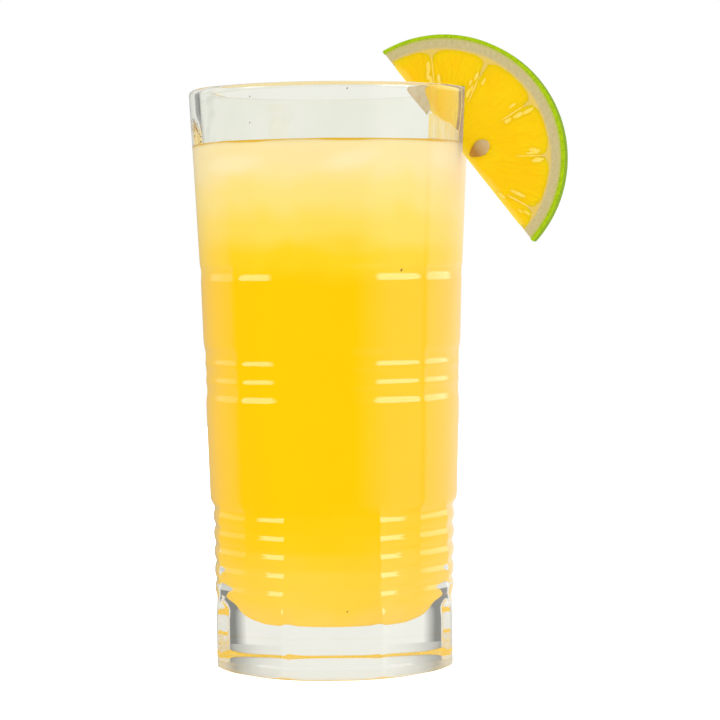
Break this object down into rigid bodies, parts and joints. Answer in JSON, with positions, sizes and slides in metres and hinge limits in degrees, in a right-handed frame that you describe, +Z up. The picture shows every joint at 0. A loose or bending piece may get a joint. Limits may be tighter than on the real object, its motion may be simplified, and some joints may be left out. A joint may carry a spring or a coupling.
{
  "type": "glass of orange juice",
  "caption": "Tall tumbler of thick pressed glass with shallow flats and ribbed bands, filled with cloudy orange juice, a half slice of green-rinded citrus slit over its rim.",
  "frame": {"origin": "centre of the tumbler's flat underside, on the table", "axes": "+Z up along the tumbler's axis; +X towards the side where the slice overhangs the rim"},
  "size_m": [0.1044, 0.0778, 0.1744],
  "materials": {
    "clear_glass": "pressed, clear and glossy",
    "cloudy_juice": "opaque cloudy liquid, smooth",
    "citrus_fruit": "wet cut fruit flesh, pale pith, green peel"
  },
  "bodies": {
    "root": {"tumbler": "clear_glass", "juice": "cloudy_juice", "citrus_slice": "citrus_fruit"}
  },
  "joints": []
}
